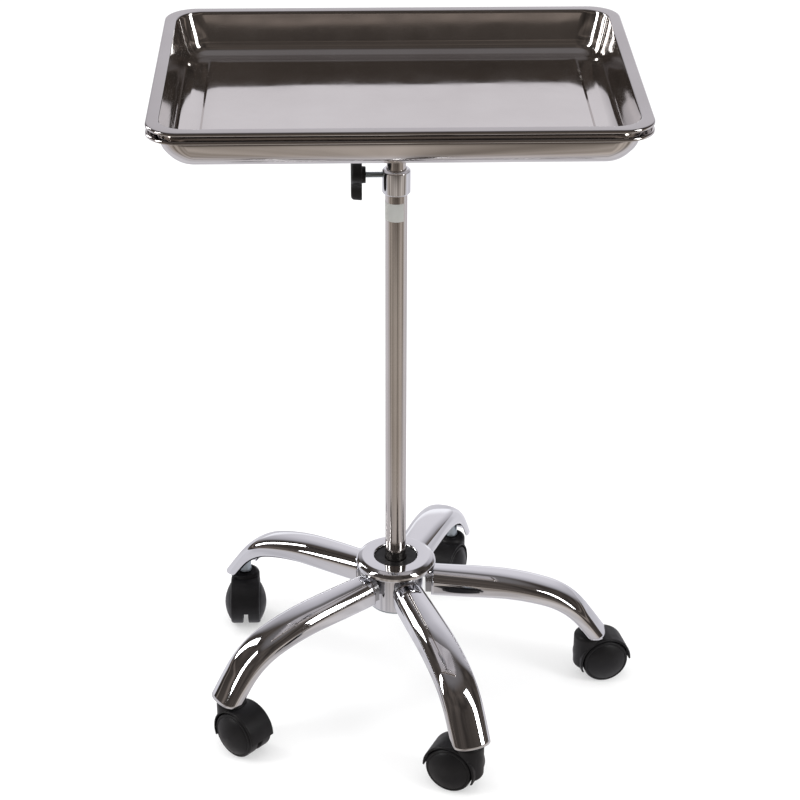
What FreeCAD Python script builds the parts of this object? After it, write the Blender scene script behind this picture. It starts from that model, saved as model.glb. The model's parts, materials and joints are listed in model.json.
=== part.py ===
import FreeCAD, Part
import Sketcher
import math
import os
from types import SimpleNamespace

# Instrument cart: a removable stainless tray on a height-adjustable pole with a five-star caster base.
# The origin is on the floor under the pole's axis. +Z is up, +X is the cart's right and +Y its back.
# Lengths are in millimetres and angles in degrees.

Vector = FreeCAD.Vector
Rotation = FreeCAD.Rotation
Placement = FreeCAD.Placement

LEG_COUNT = 5
# Where each caster points when the cart is parked, from leg 1 round to leg 5.
PARKED_ANGLES = (12, -118, -90, -43, 154)

SIZES = (
    # both trays
    ("rim_height", 707.0, "top of the instrument tray's rim at the lowest setting"),
    ("tray_width", 460.0, "outer width of both trays"),
    ("tray_length", 345.0, "outer length of both trays"),
    ("tray_corner", 25.0, "outer corner radius of the rims"),
    ("tray_sheet", 0.8, "sheet thickness of the trays"),
    ("rim_width", 12.0, "flat part of the rim"),
    ("rim_lip", 3.0, "height of the turned-down lip"),
    ("rim_bend", 1.8, "bend radius between rim and lip"),
    ("wall_corner", 22.0, "radius of the walls' upright corners"),
    # instrument tray
    ("tray_depth", 41.5, "rim top to floor"),
    ("tray_draft", 13.0, "wall angle"),
    ("tray_floor_round", 16.0, "radius between wall and floor"),
    ("panel_margin", 46.0, "rim's edge to the raised floor panel"),
    ("panel_rise", 1.0, "height of the raised floor panel"),
    # carrier tray
    ("carrier_drop", 8.0, "carrier rim below the instrument tray's rim"),
    ("carrier_gap", 0.3, "free height between the two floors"),
    ("carrier_draft", 3.0, "wall angle"),
    ("carrier_floor_round", 22.0, "radius between wall and floor"),
    # carrier flange
    ("flange_radius", 38.0, "flange plate"),
    ("flange_plate", 3.0, "thickness of the flange plate"),
    ("socket_radius", 13.5, "flange's socket for the inner tube"),
    ("socket_bottom", 633.0, "lower end of the flange's socket"),
    ("stud_circle", 28.0, "distance of the weld studs from the axis"),
    ("stud_radius", 2.5, "weld stud"),
    ("stud_length", 7.5, "weld stud below the carrier"),
    ("nut_radius", 4.6, "nut across its corners, halved"),
    ("nut_height", 3.2, "nut"),
    ("set_screw_height", 642.0, "axis of the set screw"),
    ("set_screw_radius", 2.5, "set screw"),
    # poles
    ("running_gap", 0.05, "radial clearance of a running fit"),
    ("pole_radius", 11.0, "outer pole"),
    ("pole_wall", 1.2, "wall of both tubes"),
    ("pole_bottom", 112.0, "lower end of the outer pole"),
    ("pole_top", 585.0, "upper end of the outer pole"),
    ("tube_radius", 9.5, "inner tube"),
    ("tube_bottom", 192.0, "lower end of the inner tube"),
    ("journal_radius", 6.0, "pin that carries the mast guide"),
    ("guide_length", 20.0, "mast guide"),
    ("guide_play", 0.5, "end play of the mast guide"),
    ("spigot_length", 18.0, "plug's length inside the inner tube"),
    ("retainer_radius", 8.0, "head of the retaining screw"),
    ("retainer_head", 3.0, "height of the retaining screw's head"),
    ("retainer_shank", 2.5, "radius of the retaining screw's shank"),
    ("collar_radius", 14.0, "clamp collar"),
    ("collar_bottom", 575.0, "lower end of the collar"),
    ("collar_top", 601.0, "upper end of the collar"),
    ("collar_chamfer", 1.8, "bevel on top of the collar"),
    ("collar_lid", 0.5, "lid that keeps the collar bush in"),
    ("label_low", 548.0, "lower edge of the blank label"),
    ("label_high", 567.0, "upper edge of the blank label"),
    ("label_film", 0.15, "thickness of the label"),
    ("label_start", 165.0, "angle where the label starts"),
    ("label_sweep", 145.0, "angle that the label covers"),
    # clamp
    ("clamp_height", 594.5, "axis of the clamp screw"),
    ("clamp_radius", 3.0, "clamp screw"),
    ("pad_face", 9.6, "pole's axis to the pressure pad's face"),
    ("pad_thickness", 1.0, "pressure pad"),
    ("knob_start", 30.0, "pole's axis to the knob's boss"),
    ("knob_boss_length", 3.8, "knob's boss"),
    ("knob_boss_radius", 8.5, "knob's boss"),
    ("knob_thickness", 10.9, "lobed part of the knob"),
    ("knob_core", 14.0, "middle of the knob"),
    ("knob_lobe", 8.6, "each of the three lobes"),
    ("knob_reach", 17.4, "knob's axis to a lobe's middle"),
    ("knob_round", 3.2, "rounding of the knob's face"),
    ("screw_hold", 8.0, "length of the screw inside the knob"),
    # hub
    ("sleeve_radius", 29.2, "hub sleeve"),
    ("sleeve_bottom", 100.0, "lower end of the hub sleeve"),
    ("sleeve_web", 6.0, "bottom of the hub sleeve"),
    ("hub_bore", 22.9, "bore of the sleeve and hole of the ring"),
    ("ring_bottom", 146.5, "lower face of the hub ring"),
    ("ring_lip", 1.5, "upright edge of the hub ring"),
    ("ring_radius", 42.8, "hub ring"),
    ("ring_flat", 36.0, "radius of the ring's flat top"),
    ("ring_top", 156.0, "top of the hub ring"),
    ("bush_recess", 2.0, "base bush below the ring's top"),
    ("plug_length", 20.0, "threaded plug in the pole's lower end"),
    ("bolt_radius", 4.0, "base bolt"),
    ("bolt_head", 5.3, "height of the base bolt's head"),
    ("bolt_corner", 7.5, "corner radius of the base bolt's head"),
    ("bolt_clearance", 0.3, "radial clearance round the base bolt"),
    ("washer_radius", 28.0, "base washer"),
    ("washer_thickness", 2.0, "base washer"),
    ("lug_reach", 75.0, "pole's axis to the end of a lug"),
    ("lug_bottom", 118.0, "lower face of a lug"),
    # legs, seen from the side
    ("first_leg", -1.4, "direction of leg 1"),
    ("last_leg_lead", 2.6, "leg 5 ahead of the even spacing"),
    ("leg_sheet", 2.0, "sheet thickness of the legs"),
    ("leg_root", 38.0, "pole's axis to a leg's root"),
    ("leg_end", 56.5, "height of a leg's level end"),
    ("leg_bend", 103.0, "pole's axis to where a leg starts to bend"),
    ("ridge_height", 134.5, "ridge where the bend starts"),
    ("ridge_slope", 5.7, "fall of the ridge before the bend"),
    ("ridge_fall", 20.0, "fall of the ridge between its two arcs"),
    ("ridge_wide_arc", 264.0, "first arc of the ridge"),
    ("ridge_tight_arc", 85.0, "second arc of the ridge"),
    ("edge_height", 112.0, "lower edge where the bend starts"),
    ("edge_slope", 2.0, "fall of the lower edge before the bend"),
    ("edge_fall", 17.0, "fall of the lower edge between its two arcs"),
    ("edge_wide_arc", 220.0, "first arc of the lower edge"),
    ("edge_tight_arc", 75.0, "second arc of the lower edge"),
    ("tip_fall", 54.5, "fall of a leg at its tip"),
    # legs, seen from above
    ("root_half_width", 16.8, "half width at the root"),
    ("tip_half_width", 20.3, "half width at the tip"),
    ("leg_reach", 240.0, "pole's axis to the end of the outline"),
    ("side_arc", 3200.0, "radius of the bulging sides"),
    ("leg_round", 12.5, "radius between ridge and side walls"),
    # casters
    ("caster_circle", 211.0, "distance of the caster stems from the pole's axis"),
    ("stem_bush_radius", 6.6, "stem socket in a leg's tip"),
    ("stem_bush_flange", 7.2, "flange of the stem socket"),
    ("stem_bush_bottom", 58.0, "lower face of the stem socket"),
    ("stem_flange_height", 1.5, "thickness of the stem socket's flange"),
    ("stem_radius", 5.5, "caster stem"),
    ("stem_low", 50.0, "lower end of the stem, inside the boss"),
    ("stem_high", 69.0, "upper end of the stem"),
    ("stem_round", 1.2, "rounding of the stem's end"),
    ("caster_trail", 16.0, "stem's axis to the axle"),
    ("wheel_radius", 25.0, "caster wheel"),
    ("wheel_inner", 3.0, "caster's middle to a wheel's inner face"),
    ("wheel_outer", 23.5, "caster's middle to a wheel's outer face"),
    ("wheel_dome", 45.0, "radius of a wheel's domed side"),
    ("wheel_round", 5.0, "rounding between tread and dome"),
    ("wheel_hub", 7.0, "hub inside a wheel"),
    ("wheel_hollow", 20.0, "radius of the hollow inside a wheel"),
    ("hollow_depth", 9.0, "depth of the hollow inside a wheel"),
    ("axle_radius", 3.0, "axle"),
    ("axle_half", 17.7, "half the axle's length"),
    ("axle_bore", 18.0, "caster's middle to the end of a wheel's bore"),
    ("hood_half_width", 16.0, "half the width of the fender"),
    ("hood_web", 2.3, "half the thickness of the web between the wheels"),
    ("hood_outer", 28.5, "outer radius of the fender"),
    ("hood_inner", 26.5, "inner radius of the fender"),
    ("hood_round", 1.5, "rounding of the fender's edges"),
    ("boss_radius", 16.0, "swivel boss"),
    ("boss_top", 57.0, "top of the swivel boss"),
    ("boss_low", 15.0, "lower end of the swivel boss"),
    ("boss_round", 5.0, "rounding on top of the swivel boss"),
    ("hood_lip", 25.0, "lower edge of the fender behind the wheels"),
)

doc = FreeCAD.newDocument("InstrumentCart")
sheet = doc.addObject("Spreadsheet::Sheet", "Sizes")


# ---------------------------------------------------------------- sizes that stay tied to the sheet


class Size:
    """A number together with the sheet formula that gives it."""

    def __init__(self, value, text):
        self.value = value
        self.text = text

    def join(self, sign, other, value, swap=False):
        left, right = (as_size(other), self) if swap else (self, as_size(other))
        return Size(value, f"({left.text} {sign} {right.text})")

    def __add__(self, other):
        return self.join("+", other, self.value + number(other))

    def __radd__(self, other):
        return self.join("+", other, number(other) + self.value, True)

    def __sub__(self, other):
        return self.join("-", other, self.value - number(other))

    def __rsub__(self, other):
        return self.join("-", other, number(other) - self.value, True)

    def __mul__(self, other):
        return self.join("*", other, self.value * number(other))

    def __rmul__(self, other):
        return self.join("*", other, number(other) * self.value, True)

    def __truediv__(self, other):
        return self.join("/", other, self.value / number(other))

    def __neg__(self):
        return 0 - self


def number(size):
    return size.value if isinstance(size, Size) else float(size)


def as_size(size):
    return size if isinstance(size, Size) else Size(float(size), f"{size:g}")


def sine(angle):
    return Size(math.sin(math.radians(angle.value)), f"sin({angle.text} * 1 deg)")


def cosine(angle):
    return Size(math.cos(math.radians(angle.value)), f"cos({angle.text} * 1 deg)")


def fill_sheet():
    """Writes the driving sizes to the sheet and returns them by name."""
    for row, (alias, value, meaning) in enumerate(SIZES, start=1):
        sheet.set(f"A{row}", meaning)
        sheet.set(f"B{row}", str(value))
        sheet.setAlias(f"B{row}", alias)
    doc.recompute()
    return SimpleNamespace(**{alias: Size(value, f"Sizes.{alias}") for alias, value, meaning in SIZES})


def bind(thing, prop, size):
    """Ties a property to the sheet, or sets it when the size is a plain number."""
    if isinstance(size, Size):
        thing.setExpression(prop, size.text)
    else:
        setattr(thing, prop, size)


s = fill_sheet()

# ---------------------------------------------------------------- primitives and booleans

UPRIGHT = Rotation()
ALONG_PLUS_Y = Rotation(Vector(1, 0, 0), -90)
ALONG_MINUS_Y = Rotation(Vector(1, 0, 0), 90)
ALONG_MINUS_X = Rotation(Vector(0, 1, 0), -90)
OVERRUN = 2


def place(thing, spot, turn=UPRIGHT):
    """Turns a primitive and ties its position to the sheet."""
    thing.Placement = Placement(Vector(*[number(part) for part in spot]), turn)
    for axis, part in zip("xyz", spot):
        if isinstance(part, Size):
            thing.setExpression(f"Placement.Base.{axis}", part.text)


def cylinder(name, radius, height, spot=(0, 0, 0), turn=UPRIGHT):
    thing = doc.addObject("Part::Cylinder", name)
    bind(thing, "Radius", radius)
    bind(thing, "Height", height)
    place(thing, spot, turn)
    return thing


def cone(name, low_radius, high_radius, height, spot):
    thing = doc.addObject("Part::Cone", name)
    bind(thing, "Radius1", low_radius)
    bind(thing, "Radius2", high_radius)
    bind(thing, "Height", height)
    place(thing, spot)
    return thing


def box(name, length, width, height, spot):
    thing = doc.addObject("Part::Box", name)
    bind(thing, "Length", length)
    bind(thing, "Width", width)
    bind(thing, "Height", height)
    place(thing, spot)
    return thing


def hexagon(name, corner, height, spot):
    thing = doc.addObject("Part::Prism", name)
    thing.Polygon = 6
    bind(thing, "Circumradius", corner)
    bind(thing, "Height", height)
    place(thing, spot)
    return thing


def cut(name, base, *tools):
    """Base less the tools, one after another."""
    for step, tool in enumerate(tools, start=1):
        result = doc.addObject("Part::Cut", name if step == len(tools) else f"{name}_cut_{step}")
        result.Base = base
        result.Tool = tool
        base = result
    return base


def fuse(name, *parts):
    result = doc.addObject("Part::MultiFuse", name)
    result.Shapes = list(parts)
    return result


def common(name, *parts):
    result = doc.addObject("Part::MultiCommon", name)
    result.Shapes = list(parts)
    return result


def group(name, parts):
    """Identical separate solids that share one node."""
    result = doc.addObject("Part::Compound", name)
    result.Links = parts
    return result


def tube(name, outer, inner, low, high):
    """A ring or tube round the Z axis, from two radii and two heights."""
    wall = cylinder(name + "_outside", outer, high - low, (0, 0, low))
    bore = cylinder(name + "_bore", inner, high - low + 2 * OVERRUN, (0, 0, low - OVERRUN))
    return cut(name, wall, bore)


def middle(edge):
    """The point halfway along an edge."""
    return edge.valueAt((edge.FirstParameter + edge.LastParameter) / 2)


def near(value, target):
    return abs(value - target) < 0.01


def rounded(name, base, radius, choose):
    """Fillets the edges that choose() picks."""
    doc.recompute()
    result = doc.addObject("Part::Fillet", name)
    result.Base = base
    result.Edges = [(place_in_list, radius.value, radius.value)
                    for place_in_list, edge in enumerate(base.Shape.Edges, start=1) if choose(edge)]
    return result


def is_circle(edge):
    return len(edge.Vertexes) == 1


def label(thing, name):
    """Gives a finished sub-part its name and returns it."""
    thing.Label = name
    return thing


def turned(degrees):
    """A turn about the pole's axis."""
    return Placement(Vector(), Rotation(Vector(0, 0, 1), degrees))


# ---------------------------------------------------------------- sketched bodies


def new_sketch(body, name, role, lift=None):
    """A sketch on one of the body's own origin planes, lifted along the plane's normal if asked."""
    sketch = body.newObject("Sketcher::SketchObject", name)
    plane = next(item for item in body.Origin.OriginFeatures if item.Role == role)
    sketch.AttachmentSupport = [(plane, "")]
    sketch.MapMode = "FlatFace"
    if lift:
        sketch.setExpression("AttachmentOffset.Base.z", lift.text)
    return sketch


def outline(sketch, corners, arcs=()):
    """A closed outline through corners given as pairs of sizes.

    arcs maps a corner's position in the list to (radius, side): the stretch that leaves that corner is an
    arc that bulges to the left (1) or to the right (-1).
    """
    arcs = dict(arcs)
    spots = [Vector(number(across), number(up), 0) for across, up in corners]
    for index, here in enumerate(spots):
        there = spots[(index + 1) % len(spots)]
        if index in arcs:
            radius, side = arcs[index]
            half = (there - here) / 2
            sagitta = radius.value - math.sqrt(radius.value ** 2 - half.Length ** 2)
            outward = Vector(-half.y, half.x, 0).normalize() * side
            piece = Part.Arc(here, here + half + outward * sagitta, there)
        else:
            piece = Part.LineSegment(here, there)
        sketch.addGeometry(piece, False)
    tie_corners(sketch, corners, spots)
    for index, (radius, side) in arcs.items():
        tie(sketch, Sketcher.Constraint("Radius", index, radius.value), radius)


def tie(sketch, constraint, size):
    """Adds a dimension and ties it to the sheet."""
    index = sketch.addConstraint(constraint)
    sketch.setExpression(f"Constraints[{index}]", as_size(size).text)


def tie_corners(sketch, corners, spots):
    """Joins the stretches at each corner and fixes the corner's two coordinates."""
    for (across, up), spot in zip(corners, spots):
        ends = [(piece, end) for piece in range(len(spots)) for end in (1, 2)
                if sketch.getPoint(piece, end).distanceToPoint(spot) < 1e-6]
        first, second = ends
        sketch.addConstraint(Sketcher.Constraint("Coincident", *first, *second))
        tie(sketch, Sketcher.Constraint("DistanceX", *first, number(across)), across)
        tie(sketch, Sketcher.Constraint("DistanceY", *first, number(up)), up)


def rectangle(body, name, width, length, level):
    """A rectangle about the Z axis at a level."""
    sketch = new_sketch(body, name, "XY_Plane", level)
    right = width / 2
    back = length / 2
    outline(sketch, [(-right, -back), (right, -back), (right, back), (-right, back)])
    return sketch


def pad(body, name, sketch, length, draft=None, down=False, both_ways=False):
    feature = body.newObject("PartDesign::Pad", name)
    feature.Profile = sketch
    feature.Reversed = down
    feature.Midplane = both_ways
    bind(feature, "Length", length)
    if draft:
        bind(feature, "TaperAngle", -draft)
    doc.recompute()
    return feature


def fillet(body, name, base, radius, choose):
    """Fillets the edges of the body's last feature that choose() picks."""
    feature = body.newObject("PartDesign::Fillet", name)
    names = [f"Edge{index}" for index, edge in enumerate(base.Shape.Edges, start=1) if choose(edge)]
    feature.Base = (base, names)
    bind(feature, "Radius", radius)
    doc.recompute()
    return feature


def is_upright(edge):
    """True for an edge of a block's corners, drafted or not."""
    ends = [vertex.Point for vertex in edge.Vertexes]
    return len(ends) == 2 and abs(ends[0].z - ends[1].z) > 1


def lies_at(level):
    """A test for level edges at a height."""
    return lambda edge: all(near(vertex.Z, level.value) for vertex in edge.Vertexes)


# ---------------------------------------------------------------- trays

CARRIER_RIM = s.rim_height - s.carrier_drop
CARRIER_FLOOR = s.rim_height - s.tray_depth - s.tray_sheet - s.carrier_gap
CARRIER_UNDERSIDE = CARRIER_FLOOR - s.tray_sheet


def rim_block(name, inset, top, height, corner, bend):
    """A plate with round corners and a rounded upper edge, inset from the tray's outline."""
    body = doc.addObject("PartDesign::Body", name)
    sketch = rectangle(body, name + "_outline", s.tray_width - 2 * inset, s.tray_length - 2 * inset, top)
    plate = pad(body, name + "_plate", sketch, height, down=True)
    corners = fillet(body, name + "_corners", plate, corner, is_upright)
    fillet(body, name + "_bend", corners, bend, lies_at(top))
    return body


def pan_block(name, inset, top, bottom, draft, corner, floor_round):
    """A block with drafted walls, round corners and a rounded lower edge."""
    body = doc.addObject("PartDesign::Body", name)
    sketch = rectangle(body, name + "_outline", s.tray_width - 2 * inset, s.tray_length - 2 * inset, top)
    block = pad(body, name + "_block", sketch, top - bottom, draft, down=True)
    corners = fillet(body, name + "_corners", block, corner, is_upright)
    fillet(body, name + "_floor", corners, floor_round, lies_at(bottom))
    return body


def pressed_tray(name, top, floor, draft, floor_round):
    """One pressed sheet: rim with turned-down lip, drafted walls and floor."""
    sheet_ = s.tray_sheet
    slanted = sheet_ / cosine(draft)
    mouth = s.rim_width
    plate = rim_block(name + "_rim", as_size(0), top, s.rim_lip, s.tray_corner, s.rim_bend)
    under = rim_block(name + "_under_rim", sheet_, top - sheet_, s.rim_lip, s.tray_corner - sheet_,
                      s.rim_bend - sheet_)
    outside = pan_block(name + "_outside", mouth - slanted, top, floor - sheet_, draft, s.wall_corner,
                        floor_round + sheet_)
    inside = pan_block(name + "_inside", mouth, top, floor, draft, s.wall_corner - sheet_, floor_round)
    brim = cut(name + "_brim", plate, under, outside)
    walls = cut(name + "_walls", outside, inside)
    return fuse(name + "_sheet", brim, walls)


def centred_box(name, width, length, height, low):
    return box(name, width, length, height, (-width / 2, -length / 2, low))


def instrument_tray():
    floor = s.rim_height - s.tray_depth
    pressed = pressed_tray("upper", s.rim_height, floor, s.tray_draft, s.tray_floor_round)
    width = s.tray_width - 2 * s.panel_margin
    length = s.tray_length - 2 * s.panel_margin
    panel = centred_box("floor_panel", width, length, s.panel_rise, floor)
    hollow = centred_box("panel_hollow", width - 2 * s.panel_rise, length - 2 * s.panel_rise,
                         s.panel_rise + OVERRUN, floor - s.tray_sheet - OVERRUN)
    return label(cut("instrument_tray", fuse("upper_with_panel", pressed, panel), hollow), "instrument_tray")


def carrier_tray():
    pressed = pressed_tray("lower", CARRIER_RIM, CARRIER_FLOOR, s.carrier_draft, s.carrier_floor_round)
    return label(pressed, "carrier_tray")


def stud_spots(level):
    """Four places on the studs' circle, on the diagonals."""
    reach = s.stud_circle * math.sqrt(0.5)
    return [(across * reach, along * reach, level) for across in (1, -1) for along in (1, -1)]


def studs(name, radius, length, low):
    return group(name, [cylinder(f"{name}_{index}", radius, length, spot)
                        for index, spot in enumerate(stud_spots(low), start=1)])


def carrier_flange():
    top = CARRIER_UNDERSIDE
    plate = cylinder("flange_disc", s.flange_radius, s.flange_plate, (0, 0, top - s.flange_plate))
    boss = cylinder("flange_boss", s.socket_radius, top - s.socket_bottom, (0, 0, s.socket_bottom))
    bore = cylinder("flange_bore", s.tube_radius, top - s.flange_plate - s.socket_bottom + OVERRUN,
                    (0, 0, s.socket_bottom - OVERRUN))
    holes = studs("flange_holes", s.stud_radius, s.flange_plate + 2 * OVERRUN, top - s.flange_plate - OVERRUN)
    thread = cylinder("set_screw_hole", s.set_screw_radius, s.socket_radius + OVERRUN,
                      (0, 0, s.set_screw_height), ALONG_MINUS_X)
    return label(cut("carrier_flange", fuse("flange_solid", plate, boss), bore, holes, thread),
                 "carrier_flange")


def flange_studs():
    return label(studs("flange_studs", s.stud_radius, s.stud_length, CARRIER_UNDERSIDE - s.stud_length),
                 "flange_studs")


def flange_nuts():
    low = CARRIER_UNDERSIDE - s.flange_plate - s.nut_height
    nuts = group("nut_blanks", [hexagon(f"nut_blank_{index}", s.nut_radius, s.nut_height, spot)
                                for index, spot in enumerate(stud_spots(low), start=1)])
    holes = studs("nut_holes", s.stud_radius, s.nut_height + 2 * OVERRUN, low - OVERRUN)
    return label(cut("flange_nuts", nuts, holes), "flange_nuts")


def mast_set_screw():
    """A socket screw that holds the inner tube in the flange; its end is flush with the boss."""
    screw = cylinder("set_screw_shank", s.set_screw_radius, s.socket_radius, (0, 0, s.set_screw_height),
                     ALONG_MINUS_X)
    key_depth = s.set_screw_radius / 2
    key = cylinder("set_screw_key", s.set_screw_radius / 2, key_depth + OVERRUN,
                   (key_depth - s.socket_radius, 0, s.set_screw_height), ALONG_MINUS_X)
    tube_side = cylinder("set_screw_tube_side", s.tube_radius, 2 * s.socket_radius, (0, 0, s.socket_bottom))
    boss_side = cylinder("set_screw_boss_side", s.socket_radius, 2 * s.socket_radius,
                         (0, 0, s.socket_bottom))
    trimmed = common("set_screw_trimmed", screw, boss_side)
    return label(cut("mast_set_screw", trimmed, tube_side, key), "mast_set_screw")


# ---------------------------------------------------------------- poles


def inner_tube():
    return label(tube("inner_tube", s.tube_radius, s.tube_radius - s.pole_wall, s.tube_bottom,
                      CARRIER_UNDERSIDE - s.flange_plate), "inner_tube")


JOURNAL_END = s.tube_bottom - s.guide_length - s.guide_play
SHANK_DEPTH = s.guide_length - 5


def mast_plug():
    spigot = cylinder("plug_spigot", s.tube_radius - s.pole_wall, s.spigot_length, (0, 0, s.tube_bottom))
    journal = cylinder("plug_journal", s.journal_radius, s.tube_bottom - JOURNAL_END, (0, 0, JOURNAL_END))
    thread = cylinder("plug_thread", s.retainer_shank, SHANK_DEPTH + OVERRUN, (0, 0, JOURNAL_END - OVERRUN))
    return label(cut("mast_plug", fuse("plug_solid", spigot, journal), thread), "mast_plug")


def mast_guide():
    """A nylon sleeve that slides in the outer pole and stays still when the mast is turned."""
    low = JOURNAL_END + s.guide_play / 2
    return label(tube("mast_guide", s.pole_radius - s.pole_wall - s.running_gap,
                      s.journal_radius + s.running_gap, low, low + s.guide_length), "mast_guide")


def retaining_screw():
    head = cylinder("retainer_disc", s.retainer_radius, s.retainer_head,
                    (0, 0, JOURNAL_END - s.retainer_head))
    shank = cylinder("retainer_thread", s.retainer_shank, SHANK_DEPTH, (0, 0, JOURNAL_END))
    return label(fuse("retaining_screw", head, shank), "retaining_screw")


def clamp_hole(name):
    """The clamp screw's way out through one side."""
    return cylinder(name, s.clamp_radius + s.running_gap, s.collar_radius + OVERRUN, (0, 0, s.clamp_height),
                    ALONG_MINUS_X)


def outer_pole():
    return label(tube("outer_pole", s.pole_radius, s.pole_radius - s.pole_wall, s.pole_bottom, s.pole_top),
                 "outer_pole")


def pole_collar():
    """A turned collar with a bevelled top and a lid that keeps the bush in."""
    straight = cylinder("collar_straight", s.collar_radius, s.collar_top - s.collar_chamfer - s.collar_bottom,
                        (0, 0, s.collar_bottom))
    softened = rounded("collar_softened", straight, s.collar_chamfer,
                       lambda edge: is_circle(edge) and near(middle(edge).z, s.collar_bottom.value))
    bevel = cone("collar_bevel", s.collar_radius, s.collar_radius - s.collar_chamfer, s.collar_chamfer,
                 (0, 0, s.collar_top - s.collar_chamfer))
    bore = cylinder("collar_bore", s.pole_radius, s.collar_top - s.collar_lid - s.collar_bottom + OVERRUN,
                    (0, 0, s.collar_bottom - OVERRUN))
    mouth = cylinder("collar_mouth", s.tube_radius + s.collar_lid, 2 * s.collar_lid + OVERRUN,
                     (0, 0, s.collar_top - 2 * s.collar_lid))
    return label(cut("pole_collar", fuse("collar_solid", softened, bevel), bore, mouth,
                     clamp_hole("collar_clamp_hole")), "pole_collar")


def collar_bush():
    sleeve = tube("bush_sleeve", s.pole_radius, s.tube_radius + s.running_gap, s.pole_top,
                  s.collar_top - s.collar_lid)
    return label(cut("collar_bush", sleeve, clamp_hole("bush_clamp_hole")), "collar_bush")


def pole_label():
    """A thin film round part of the pole, left blank."""
    film = cylinder("label_disc", s.pole_radius + s.label_film, s.label_high - s.label_low,
                    (0, 0, s.label_low))
    bind(film, "Angle", s.label_sweep)
    pole = cylinder("label_pole_side", s.pole_radius, s.label_high - s.label_low + 2 * OVERRUN,
                    (0, 0, s.label_low - OVERRUN))
    sticker = cut("pole_label", film, pole)
    sticker.Placement = turned(s.label_start.value)
    return label(sticker, "pole_label")


# ---------------------------------------------------------------- clamp


def pressure_pad():
    return label(cylinder("pressure_pad", s.clamp_radius - s.running_gap, s.pad_thickness,
                          (-s.pad_face, 0, s.clamp_height), ALONG_MINUS_X), "pressure_pad")


def clamp_screw():
    start = s.pad_face + s.pad_thickness + s.running_gap
    return label(cylinder("clamp_screw", s.clamp_radius, s.knob_start + s.screw_hold - start,
                          (-start, 0, s.clamp_height), ALONG_MINUS_X), "clamp_screw")


def clamp_knob():
    """Three rounded lobes round a core, one lobe pointing down, with a boss towards the collar."""
    back = s.knob_start + s.knob_boss_length
    face = -(back + s.knob_thickness).value
    blanks = [cylinder("knob_core", s.knob_core, s.knob_thickness, (-back, 0, s.clamp_height), ALONG_MINUS_X)]
    for lobe, angle in enumerate((-90, 30, 150), start=1):
        across = s.knob_reach * math.cos(math.radians(angle))
        up = s.knob_reach * math.sin(math.radians(angle))
        blanks.append(cylinder(f"knob_lobe_{lobe}", s.knob_lobe, s.knob_thickness,
                               (-back, across, s.clamp_height + up), ALONG_MINUS_X))
    soft = [rounded(f"{blank.Name}_soft", blank, s.knob_round,
                    lambda edge: is_circle(edge) and near(middle(edge).x, face)) for blank in blanks]
    boss = cylinder("knob_boss", s.knob_boss_radius, s.knob_boss_length + OVERRUN,
                    (-s.knob_start, 0, s.clamp_height), ALONG_MINUS_X)
    hole = cylinder("knob_hole", s.clamp_radius, s.screw_hold, (-s.knob_start, 0, s.clamp_height),
                    ALONG_MINUS_X)
    return label(cut("clamp_knob", fuse("knob_solid", *soft, boss), hole), "clamp_knob")


# ---------------------------------------------------------------- hub

BUSH_BOTTOM = s.sleeve_bottom + s.sleeve_web
BUSH_TOP = s.ring_top - s.bush_recess
PLUG_TOP = s.pole_bottom + s.plug_length
WASHER_BOTTOM = s.sleeve_bottom - s.washer_thickness


def bolt_way(name, low, high):
    return cylinder(name, s.bolt_radius + s.bolt_clearance, high - low + 2 * OVERRUN, (0, 0, low - OVERRUN))


def hub_sleeve():
    block = cylinder("sleeve_block", s.sleeve_radius, s.ring_bottom - s.sleeve_bottom,
                     (0, 0, s.sleeve_bottom))
    bore = cylinder("sleeve_bore", s.hub_bore, s.ring_bottom - BUSH_BOTTOM + OVERRUN, (0, 0, BUSH_BOTTOM))
    way = bolt_way("sleeve_bolt_way", s.sleeve_bottom, BUSH_BOTTOM)
    return label(cut("hub_sleeve", block, bore, way), "hub_sleeve")


def hub_ring():
    """A turned ring: an upright edge, a bevel and a flat top."""
    edge = cylinder("ring_edge", s.ring_radius, s.ring_lip, (0, 0, s.ring_bottom))
    bevel_low = s.ring_bottom + s.ring_lip
    bevel = cone("ring_bevel", s.ring_radius, s.ring_flat, s.ring_top - bevel_low, (0, 0, bevel_low))
    hole = cylinder("ring_hole", s.hub_bore, s.ring_top - s.ring_bottom + 2 * OVERRUN,
                    (0, 0, s.ring_bottom - OVERRUN))
    return label(cut("hub_ring", fuse("ring_solid", edge, bevel), hole), "hub_ring")


def base_bush():
    block = cylinder("bush_block", s.hub_bore, BUSH_TOP - BUSH_BOTTOM, (0, 0, BUSH_BOTTOM))
    pole = cylinder("bush_pole_bore", s.pole_radius, BUSH_TOP - s.pole_bottom + OVERRUN,
                    (0, 0, s.pole_bottom))
    way = bolt_way("bush_bolt_way", BUSH_BOTTOM, s.pole_bottom)
    return label(cut("base_bush", block, pole, way), "base_bush")


def pole_plug():
    return label(tube("pole_plug", s.pole_radius - s.pole_wall, s.bolt_radius, s.pole_bottom, PLUG_TOP),
                 "pole_plug")


def base_washer():
    return label(tube("base_washer", s.washer_radius, s.bolt_radius + s.bolt_clearance, WASHER_BOTTOM,
                      s.sleeve_bottom), "base_washer")


def base_bolt():
    low = WASHER_BOTTOM - s.bolt_head
    head = hexagon("bolt_hexagon", s.bolt_corner, s.bolt_head, (0, 0, low))
    shank = cylinder("bolt_shank", s.bolt_radius, PLUG_TOP - OVERRUN - low, (0, 0, low))
    return label(fuse("base_bolt", head, shank), "base_bolt")


# ---------------------------------------------------------------- legs


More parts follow.
